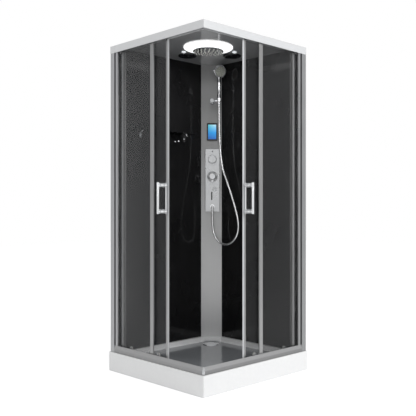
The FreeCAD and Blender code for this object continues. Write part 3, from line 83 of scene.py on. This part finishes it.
# Millimetres across the column, out from it and above the outlet.
HOSE_LOOP = [(7.5, 42, 0), (7.5, 42, -86), (16.3, 41.7, -178), (59.4, 69.3, -241),
             (123, 113.1, -251), (178.2, 149.9, -202), (196.6, 162.6, -116), (175.4, 148.5, -8),
             (128, 118, 150), (56, 72, 352), (56, 72, 737)]
HOSE_ROUTE = [at_column(across / 1000, out / 1000, OUTLET_HEIGHT + rise / 1000)
              for across, out, rise in HOSE_LOOP]


def smooth_line(points):
    """A NURBS curve that has the points as its control points."""
    curve = bpy.data.curves.new("line", "CURVE")
    curve.dimensions = "3D"
    curve.resolution_u = 24
    spline = curve.splines.new("NURBS")
    spline.points.add(len(points) - 1)
    for target, point in zip(spline.points, points):
        target.co = (*point, 1)
    spline.order_u = 3
    spline.use_endpoint_u = True
    return curve


hose_curve = smooth_line(HOSE_ROUTE)
hose_curve.bevel_depth = HOSE_RADIUS
hose_curve.bevel_resolution = 5
hose = bpy.data.objects.new("hose_jacket", hose_curve)
scene.collection.objects.link(hose)


# ---------------------------------------------------------------- node trees

# Sockets of a Mix node, which share their names between its number and colour modes.
MIX_FACTOR, NUMBER_A, NUMBER_B, COLOUR_A, COLOUR_B = 0, 2, 3, 6, 7
MIXED_NUMBER, MIXED_COLOUR = 0, 2
UNSTRETCHED = (1, 1, 1)
FINE_BUMP = 0.0004


class Nodes:
    """The node tree of a material or world, with short calls to add to it."""

    def __init__(self, owner):
        owner.use_nodes = True
        self.tree = owner.node_tree

    def add(self, kind, **values):
        """A node with its properties or, where the name is a socket's, its inputs set."""
        node = self.tree.nodes.new("ShaderNode" + kind)
        for name, value in values.items():
            if hasattr(node, name):
                setattr(node, name, value)
            else:
                node.inputs[name.replace("_", " ").title()].default_value = value
        return node

    def link(self, start, end):
        self.tree.links.new(start, end)

    def combine(self, operation, first, second):
        """The result of arithmetic on two sockets, or on a socket and a number."""
        result = self.add("Math", operation=operation)
        self.link(first, result.inputs[0])
        if isinstance(second, (int, float)):
            result.inputs[1].default_value = second
        else:
            self.link(second, result.inputs[1])
        return result.outputs[0]

    def spread(self, value, start, end, low=0.0, high=1.0):
        """The value's way from start to end, turned to the way from low to high."""
        spread = self.add("MapRange", From_Min=start, From_Max=end, To_Min=low, To_Max=high)
        self.link(value, spread.inputs["Value"])
        return spread.outputs["Result"]

    def shown(self):
        """1 for the rays that show the background: seen, through glass or in what shines."""
        rays = self.add("LightPath")
        seen = self.combine("MAXIMUM", rays.outputs["Is Camera Ray"],
                            rays.outputs["Is Transmission Ray"])
        return self.combine("MAXIMUM", seen, rays.outputs["Is Glossy Ray"])


class Surface(Nodes):
    """A new material's node tree around its main shader."""

    def __init__(self, name):
        self.material = bpy.data.materials.new(name)
        super().__init__(self.material)
        self.shader = self.tree.nodes["Principled BSDF"]

    def set(self, **sockets):
        """Set the shader's inputs to plain values."""
        for name, value in sockets.items():
            self.shader.inputs[name.replace("_", " ")].default_value = value

    def place(self, scale):
        """Object coordinates stretched by a scale for each axis."""
        coordinates = self.add("TexCoord")
        mapping = self.add("Mapping")
        mapping.inputs["Scale"].default_value = scale
        self.link(coordinates.outputs["Object"], mapping.inputs["Vector"])
        return mapping.outputs["Vector"]

    def axes(self):
        """The object coordinates as separate X, Y and Z."""
        split = self.add("SeparateXYZ")
        self.link(self.place(UNSTRETCHED), split.inputs["Vector"])
        return split.outputs

    def noise(self, scale, place=UNSTRETCHED):
        """Noise at a scale, in places stretched along the axes."""
        noise = self.add("TexNoise", Scale=scale, Detail=3.0)
        self.link(self.place(place), noise.inputs["Vector"])
        return noise.outputs["Fac"]

    def ramp(self, value, *stops):
        """The value turned to colours, or to greys where a stop is one number."""
        ramp = self.add("ValToRGB")
        elements = ramp.color_ramp.elements
        while len(elements) < len(stops):
            elements.new(0.5)
        for element, (place, colour) in zip(elements, stops):
            element.position = place
            element.color = (*([colour] * 3 if isinstance(colour, (int, float)) else colour), 1)
        self.link(value, ramp.inputs["Fac"])
        return ramp.outputs["Color"]

    def mottle(self, value, low, high):
        """The middle of a noise value spread from a low to a high colour or grey."""
        return self.ramp(value, (0.3, low), (0.7, high))

    def mix(self, factor, first, second, blend="MIX"):
        """The second colour over the first, by a number or socket."""
        mix = self.add("Mix", data_type="RGBA", blend_type=blend)
        if isinstance(factor, float):
            mix.inputs[MIX_FACTOR].default_value = factor
        else:
            self.link(factor, mix.inputs[MIX_FACTOR])
        self.link(first, mix.inputs[COLOUR_A])
        self.link(second, mix.inputs[COLOUR_B])
        return mix.outputs[MIXED_COLOUR]

    def bump(self, value, strength):
        """A fine bump from the value."""
        bump = self.add("Bump", Strength=strength, Distance=FINE_BUMP)
        self.link(value, bump.inputs["Height"])
        self.link(bump.outputs["Normal"], self.shader.inputs["Normal"])


# ---------------------------------------------------------------- materials

def finish_material(name, colour, roughness, metallic=0.0, spread=0.06, rough_spread=0.25,
                    grain=UNSTRETCHED, grain_scale=40.0, bump=0.0, **sockets):
    """A surface with fine variation of its colour and roughness, and a bump along its grain."""
    made = Surface(name)
    low = tuple(c * (1 - spread) for c in colour)
    high = tuple(min(c * (1 + spread), 1) for c in colour)
    grained = made.noise(grain_scale, grain)
    made.link(made.mottle(grained, low, high), made.shader.inputs["Base Color"])
    made.link(made.mottle(made.noise(5.0), roughness * (1 - rough_spread),
                          min(roughness * (1 + rough_spread), 1)),
              made.shader.inputs["Roughness"])
    made.set(Metallic=metallic, **sockets)
    if bump:
        made.bump(grained, bump)
    return made.material


def metal_with_painted_shading(name, grain, grain_scale, heights, painted_shading_tones, light_grain, metallic, roughness,
                bump):
    """A satin metal with painted shading: its tone goes from the first to the second between two
    heights.
    """
    made = Surface(name)
    grained = made.noise(grain_scale, grain)
    # Painted shading: a tone by height that multiplies the grain's colour.
    tone = made.spread(made.axes()["Z"], *heights, *painted_shading_tones)
    made.link(made.mix(1.0, made.mottle(grained, light_grain, (1.0, 1.0, 1.0)), tone,
                       "MULTIPLY"),
              made.shader.inputs["Base Color"])
    made.set(Metallic=metallic, Roughness=roughness)
    made.bump(grained, bump)
    return made.material


def make_tall_metal(name, painted_shading_tones, metallic, roughness):
    """A tall satin metal with painted shade that darkens it towards its top, under the roof."""
    return metal_with_painted_shading(name, ALONG_Z, 6, (0.3, 1.75), painted_shading_tones, (0.95, 0.96, 0.97), metallic,
                       roughness, 0.08)


def make_sill_metal(name, grain, shaded_band_tone):
    """A bottom rail's satin metal with painted light: its upper bevel gets a painted highlight,
    lighter than its lower band, which gets painted shade.
    """
    return metal_with_painted_shading(name, grain, 8, (0.139, 0.146), (shaded_band_tone, 0.30), (0.94, 0.95, 0.97),
                       0.6, 0.38, 0.12)


def make_acrylic():
    """White cast acrylic, with painted shade on the basin's floor: dark grey there, for the
    shade it lies in among the dark walls.
    """
    made = Surface("acrylic")
    axes = made.axes()
    sides = []
    for axis in ("X", "Y"):
        side = made.add("Math", operation="ABSOLUTE")
        made.link(axes[axis], side.inputs[0])
        sides.append(side.outputs[0])
    # Painted shade's mask: the basin's floor, inside the curbs and below their tops.
    inside = made.spread(made.combine("MAXIMUM", *sides), 0.370, 0.345)
    low = made.spread(axes["Z"], 0.096, 0.0915)
    speck = made.noise(40.0)
    white = made.mottle(speck, (0.80, 0.805, 0.81), (0.82, 0.825, 0.83))
    # The dark grey of the painted shade on the basin's floor.
    dark = made.mottle(speck, (0.235, 0.248, 0.262), (0.245, 0.258, 0.272))
    made.link(made.mix(made.combine("MULTIPLY", inside, low), white, dark),
              made.shader.inputs["Base Color"])
    made.set(Roughness=0.14, Coat_Weight=0.3, Coat_Roughness=0.05)
    return made.material


def make_clear_glass(name, tone):
    """Toughened glass: a thin grey veil over what stands behind it."""
    made = Surface(name)
    made.link(made.mottle(made.noise(2.2, (1, 1, 0.4)),
                          tuple(tone * c for c in (0.95, 0.97, 1.0)),
                          tuple(tone * c for c in (1.05, 1.07, 1.1))),
              made.shader.inputs["Base Color"])
    made.set(Roughness=0.06, Alpha=0.15, Specular_IOR_Level=0.25)
    return made.material


def make_glow(name, colour, strength):
    """A milky cover lit from behind."""
    made = Surface(name)
    glow = made.mottle(made.noise(60.0), tuple(c * 0.985 for c in colour), colour)
    made.link(glow, made.shader.inputs["Emission Color"])
    made.link(glow, made.shader.inputs["Base Color"])
    made.set(Emission_Strength=strength, Roughness=0.35)
    return made.material


def make_screen():
    """The lit display: teal at its top left, pale at its top right and deep blue below."""
    made = Surface("screen")
    axes = made.axes()
    height = made.spread(axes["Z"], 1.526, 1.629)
    across = made.spread(axes["X"], -0.350, -0.310)
    left = made.ramp(height, (0.0, (0.004, 0.09, 0.40)), (0.45, (0.004, 0.24, 0.62)),
                     (0.8, (0.02, 0.40, 0.62)), (1.0, (0.06, 0.50, 0.56)))
    right = made.ramp(height, (0.0, (0.006, 0.12, 0.48)), (0.45, (0.01, 0.33, 0.80)),
                      (0.8, (0.22, 0.58, 0.88)), (1.0, (0.50, 0.78, 0.92)))
    made.link(made.mix(across, left, right), made.shader.inputs["Emission Color"])
    made.set(Emission_Strength=1.0, Base_Color=(0.01, 0.01, 0.012, 1), Roughness=0.12)
    return made.material


def make_hose_metal():
    """Wound steel: bright ridges around the hose, with painted shade darkening the grooves
    between them.
    """
    made = Surface("hose_metal")
    place = made.add("TexCoord")
    mapping = made.add("Mapping")
    mapping.inputs["Scale"].default_value = (340, 1, 1)
    made.link(place.outputs["UV"], mapping.inputs["Vector"])
    wave = made.add("TexWave", Scale=1.0)
    made.link(mapping.outputs["Vector"], wave.inputs["Vector"])
    # Painted shade: the ramp darkens the grooves between the ridges.
    made.link(made.ramp(wave.outputs["Fac"], (0.0, (0.55, 0.555, 0.56)),
                        (0.5, (0.94, 0.95, 0.96))),
              made.shader.inputs["Base Color"])
    made.set(Metallic=0.95, Roughness=0.22)
    made.bump(wave.outputs["Fac"], 0.1)
    return made.material


def dress(material, *names):
    """Give CAD nodes the material."""
    for name in names:
        slots = nodes[name].data.materials
        slots.clear()
        slots.append(material)


ALONG_Z, ALONG_X, ALONG_Y = (60, 60, 1), (1, 60, 60), (60, 1, 60)
black_plastic = finish_material("black_plastic", (0.014, 0.014, 0.016), 0.25, grain_scale=900,
                                bump=0.05)
chrome = finish_material("chrome", (0.88, 0.89, 0.91), 0.11, 1.0, spread=0.02, grain_scale=12)
dark_chrome = finish_material("dark_chrome", (0.42, 0.43, 0.44), 0.16, 1.0, spread=0.03)
hand_face_paint = finish_material("hand_face_paint", (0.29, 0.30, 0.265), 0.3, spread=0.03)
nozzle_rubber = finish_material("nozzle_rubber", (0.60, 0.60, 0.57), 0.45, grain_scale=600)
plate_metal = finish_material("plate_metal", (0.56, 0.57, 0.58), 0.3, 0.7, grain=ALONG_Z,
                              grain_scale=10, bump=0.15)
ring_glow = make_glow("ring_glow", (1.0, 1.0, 1.0), 1.1)

dress(make_acrylic(), "shower_tray")
dress(finish_material("zinc", (0.48, 0.49, 0.50), 0.42, 0.9, spread=0.15, grain_scale=60,
                      bump=0.1),
      "tray_frame_and_feet", "corner_connectors", "steam_generator", "water_pipes")
dress(black_plastic, "loudspeaker", "extractor_fan_grille", "display_housing", "steam_nozzle")
dress(finish_material("grey_plastic", (0.30, 0.31, 0.32), 0.5, grain_scale=700, bump=0.1),
      "drain_trap", "extractor_fan_rotor", "extractor_fan_duct")
dress(chrome, "drain_cover", "hose_elbow", "holder_cup", "hand_shower", "shelf_brackets",
      "shower_hose", "wheel_carriers_front", "wheel_carriers_side")
dress(finish_material("brass", (0.62, 0.46, 0.22), 0.35, 1.0, spread=0.12, bump=0.1),
      "mixer_body")
dress(finish_material("ceiling_paint", (0.50, 0.51, 0.52), 0.12, spread=0.02,
                      Coat_Weight=1.0, Coat_Roughness=0.03, Coat_IOR=1.9),
      "roof_panel")
dress(finish_material("black_glass", (0.011, 0.011, 0.0115), 0.08, spread=0.2,
                      rough_spread=0.05, grain_scale=3, Specular_IOR_Level=0.3),
      "back_panel_left", "back_panel_right", "shelf_glass")
# The column's and stiles' metals carry painted shade, darker towards their tops.
dress(make_tall_metal("column_metal", (0.57, 0.235), 0.6, 0.42), "column_panel")
dress(make_tall_metal("stile_metal", (0.29, 0.23), 0.8, 0.34), "fixed_stile_front",
      "fixed_stile_side", "door_stiles_front", "door_stiles_side")
dress(plate_metal, "control_plate", "diverter_knob")
dress(finish_material("satin_chrome", (0.68, 0.69, 0.70), 0.34, 0.7, spread=0.02),
      "mixer_lever")
dress(finish_material("bright_chrome", (0.68, 0.69, 0.70), 0.2, 0.8, spread=0.02),
      "door_handle_front", "door_handle_side")
dress(dark_chrome, "rain_shower_head", "holder_base")
dress(ring_glow, "light_ring")
dress(make_glow("spot_glow", (0.9, 0.93, 0.95), 0.6), "spot_lights")
dress(make_screen(), "display_screen")
dress(finish_material("seal_rubber", (0.50, 0.51, 0.52), 0.55, grain_scale=400, bump=0.08),
      "door_seals_front", "door_seals_side")
dress(finish_material("wheel_plastic", (0.62, 0.62, 0.60), 0.45, grain_scale=500, bump=0.05),
      *(f"wheel_{face}_{end}_{level}" for face in ("front", "side")
        for end in ("lead", "tail") for level in ("bottom", "top")))

# Lit and shaded copies of the faces' finishes: the side face's copies are painted darker than
# the front face's, as painted shade.
for face, sill_grain, sill_shaded_band_tone, rim_colour_and_shade, post_colour_and_shade, glass_tone_and_shade in (
        ("front", ALONG_X, 0.255, (0.65, 0.66, 0.67), (0.34, 0.345, 0.355), 0.105),
        ("side", ALONG_Y, 0.21, (0.58, 0.59, 0.60), (0.26, 0.265, 0.27), 0.045)):
    dress(make_sill_metal(f"sill_{face}", sill_grain, sill_shaded_band_tone), f"bottom_rail_{face}")
    dress(finish_material(f"rim_paint_{face}", rim_colour_and_shade, 0.34, 0.1, spread=0.006,
                          rough_spread=0.02),
          f"top_rail_{face}")
    dress(finish_material(f"post_{face}", post_colour_and_shade, 0.34, 0.8, grain=ALONG_Z,
                          grain_scale=8, bump=0.12),
          f"end_post_{face}")
    dress(make_clear_glass(f"{face}_glass", glass_tone_and_shade), f"fixed_glass_{face}",
          f"door_glass_{face}")

hose_curve.materials.append(make_hose_metal())
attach(hose, "cabin")
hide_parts("shower_hose")


# ---------------------------------------------------------------- fine trim

def new_piece(name, shape, body, material):
    """A mesh object made from the shape, that rides on a body."""
    mesh = bpy.data.meshes.new(name)
    bmesh.ops.recalc_face_normals(shape, faces=shape.faces)
    shape.to_mesh(mesh)
    shape.free()
    for polygon in mesh.polygons:
        polygon.use_smooth = True
    mesh.materials.append(material)
    piece = bpy.data.objects.new(name, mesh)
    scene.collection.objects.link(piece)
    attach(piece, body)
    return piece


def on_circle(radius, step, steps, height=0.0):
    """The place of one of a circle's evenly spaced steps."""
    angle = math.tau * step / steps
    return Vector((radius * math.cos(angle), radius * math.sin(angle), height))


def turn_to(facing):
    """The turn that brings +Z to the facing."""
    return facing.to_track_quat("Z", "Y").to_matrix()


def low_middle(name):
    """The middle of the underside of a node's box."""
    low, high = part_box(name)
    return Vector(((low.x + high.x) / 2, (low.y + high.y) / 2, low.z))


def add_turned(shape, outline, place, facing, steps):
    """Add a turned form: its outline is pairs of radius and height along the facing."""
    turn = turn_to(facing)
    rings = [[shape.verts.new(place + turn @ on_circle(radius, step, steps, height))
              for step in range(steps)] for radius, height in outline]
    shape.faces.new(rings[0])
    shape.faces.new(rings[-1])
    for low, high in zip(rings, rings[1:]):
        for step in range(steps):
            after = (step + 1) % steps
            shape.faces.new((low[step], low[after], high[after], high[step]))


def make_nozzles(name, middle, facing, rings, radius, body):
    """Rubber nozzles on a shower's face, in rings given by radius and count."""
    shape = bmesh.new()
    turn = turn_to(facing)
    dome = [(radius, -0.0004), (radius * 0.8, radius), (radius * 0.55, radius * 1.3),
            (radius * 0.2, radius * 1.4)]
    for reach, count in rings:
        for step in range(count):
            add_turned(shape, dome, middle + turn @ on_circle(reach, step, count), facing, 8)
    new_piece(name, shape, body, nozzle_rubber)


def make_ring_collar():
    """The lit collar that closes the ring's hole down to the ceiling shower."""
    middle = low_middle("light_ring")
    reach = middle.z - low_middle("rain_shower_head").z - 0.0085
    steps = 64
    shape = bmesh.new()
    rings = [[shape.verts.new(middle + on_circle(radius, step, steps, -drop))
              for step in range(steps)]
             for radius, drop in ((0.1000, -0.0001), (0.0995, reach), (0.0982, reach),
                                  (0.0982, -0.0001))]
    for ring, after_ring in zip(rings, rings[1:] + rings[:1]):
        for step in range(steps):
            after = (step + 1) % steps
            shape.faces.new((ring[step], ring[after], after_ring[after], after_ring[step]))
    new_piece("ring_collar", shape, "cabin", ring_glow)


def make_hand_face():
    """The hand shower's pale face with its nozzles, and the tab that turns the spray."""
    turn, tilt = math.radians(28), math.radians(15)
    grip_across, grip_out, face_out = 0.056, 0.072, 0.022
    middle = at_column(grip_across + face_out * math.sin(turn),
                       grip_out + face_out * math.cos(turn), 1.990)
    facing = ((RIGHT * math.sin(turn) + OUT * math.cos(turn)) * math.cos(tilt)
              + DOWN * math.sin(tilt)).normalized()
    shape = bmesh.new()
    add_turned(shape, [(0.0355, -0.0005), (0.0355, 0.0008), (0.0345, 0.0014), (0.020, 0.0020),
                       (0.006, 0.0022)], middle, facing, 48)
    new_piece("hand_shower_face", shape, "hand_shower", hand_face_paint)
    side = DOWN.cross(facing).normalized()
    shape = bmesh.new()
    add_turned(shape, [(0.002, -0.004), (0.0042, -0.002), (0.0045, 0.006), (0.0035, 0.0105),
                       (0.0015, 0.012)], middle - facing * 0.008 + side * 0.042, side, 16)
    new_piece("spray_tab", shape, "hand_shower", chrome)
    make_nozzles("hand_shower_nozzles", middle + facing * 0.0012, facing,
                 [(0.0105, 5), (0.021, 9), (0.031, 13)], 0.0025, "hand_shower")


def make_plate_marks():
    """A low button and a small dark sensor on the control plate."""
    plate_out = 0.010
    shape = bmesh.new()
    add_turned(shape, [(0.0155, -0.0005), (0.0155, 0.0009), (0.0148, 0.0016), (0.002, 0.0018)],
               at_column(0.0235, plate_out, 1.169), OUT, 40)
    new_piece("plate_button", shape, "cabin", plate_metal)
    shape = bmesh.new()
    add_turned(shape, [(0.0045, -0.0005), (0.0045, 0.0006), (0.0035, 0.0012), (0.0012, 0.0014)],
               at_column(0.0075, plate_out, 1.4385), OUT, 20)
    new_piece("plate_sensor", shape, "cabin", black_plastic)


def make_corner_cap():
    """A slim metal cover over the mitre of the bottom rails at the open corner."""
    rail_face, wing, bend = 0.4425, 0.009, 0.003
    shape = bmesh.new()
    rows = []
    for height, lean in ((0.1257, 0.0), (0.1425, 0.0), (0.1652, 0.0034)):
        row = []
        for skin in (-0.0009, -0.0001):
            edge = -rail_face + lean + skin
            row.append([shape.verts.new(corner) for corner in (
                (rail_face - wing, edge, height), (rail_face - bend, edge, height),
                (-edge, edge, height), (-edge, -rail_face + bend, height),
                (-edge, -rail_face + wing, height))])
        rows.append(row)
    for below, above in zip(rows, rows[1:]):
        for layer in (0, 1):
            for i in range(4):
                shape.faces.new((below[layer][i], below[layer][i + 1],
                                 above[layer][i + 1], above[layer][i]))
        for i in (0, 4):
            shape.faces.new((below[0][i], below[1][i], above[1][i], above[0][i]))
    for row in (rows[0], rows[-1]):
        for i in range(4):
            shape.faces.new((row[0][i], row[0][i + 1], row[1][i + 1], row[1][i]))
    cap = new_piece("sill_corner_cap", shape, "cabin", dark_chrome)
    for polygon in cap.data.polygons:
        polygon.use_smooth = False


make_nozzles("rain_nozzles", low_middle("rain_shower_head"), DOWN,
             [(0.001, 1), (0.024, 5), (0.047, 10), (0.068, 15), (0.086, 20)], 0.0045, "cabin")
make_ring_collar()
make_hand_face()
make_plate_marks()
make_corner_cap()


# ---------------------------------------------------------------- floor, light and background

# Added to the lit floor where it is shown as the background, so that it is white there.
FLOOR_GLOW = 0.6
# How bright the surroundings are as a light, and as a background.
WORLD_LIGHT, WORLD_SHOWN = 0.55, 1.0


def make_floor():
    """A pale floor that shows white where it is lit, and keeps the object's shadow."""
    mesh = bpy.data.meshes.new("floor")
    shape = bmesh.new()
    bmesh.ops.create_grid(shape, x_segments=1, y_segments=1, size=14)
    shape.to_mesh(mesh)
    shape.free()
    floor = bpy.data.objects.new("floor", mesh)
    scene.collection.objects.link(floor)
    made = Surface("floor_white")
    made.set(Roughness=0.9, Specular_IOR_Level=0.0)
    made.link(made.mottle(made.noise(3.0), 0.79, 0.81), made.shader.inputs["Base Color"])
    glow = made.add("Emission")
    made.link(made.combine("MULTIPLY", made.shown(), FLOOR_GLOW), glow.inputs["Strength"])
    both = made.add("AddShader")
    made.link(made.shader.outputs[0], both.inputs[0])
    made.link(glow.outputs[0], both.inputs[1])
    made.link(both.outputs[0], made.tree.nodes["Material Output"].inputs["Surface"])
    mesh.materials.append(made.material)
    floor.location.z = -0.0005


def make_world():
    """White behind the object, through glass and in what shines, and a plain grey as a light."""
    scene.world = bpy.data.worlds.new("studio")
    made = Nodes(scene.world)
    background = made.tree.nodes["Background"]
    strength = made.add("Mix")
    strength.inputs[NUMBER_A].default_value = WORLD_LIGHT
    strength.inputs[NUMBER_B].default_value = WORLD_SHOWN
    made.link(made.shown(), strength.inputs[MIX_FACTOR])
    background.inputs["Color"].default_value = (1, 1, 1, 1)
    made.link(strength.outputs[MIXED_NUMBER], background.inputs["Strength"])


def area_light(name, place, target, size, power):
    """A soft square lamp that points at a target."""
    lamp = bpy.data.lights.new(name, "AREA")
    lamp.size = size
    lamp.energy = power
    item = bpy.data.objects.new(name, lamp)
    scene.collection.objects.link(item)
    item.location = place
    direction = Vector(target) - Vector(place)
    item.rotation_euler = direction.to_track_quat("-Z", "Y").to_euler()
    return item


make_floor()
make_world()
area_light("key", (4.2, 0.6, 2.6), (0.2, 0, 1.0), 2.2, 120)
area_light("fill", (-0.6, -4.4, 2.4), (0, -0.2, 1.0), 2.2, 40)
ring_lamp = area_light("ring_light", (0.02, -0.02, 2.02), (0.02, -0.02, 0), 0.3, 3.0)
ring_lamp.visible_camera = False
ring_lamp.visible_glossy = False
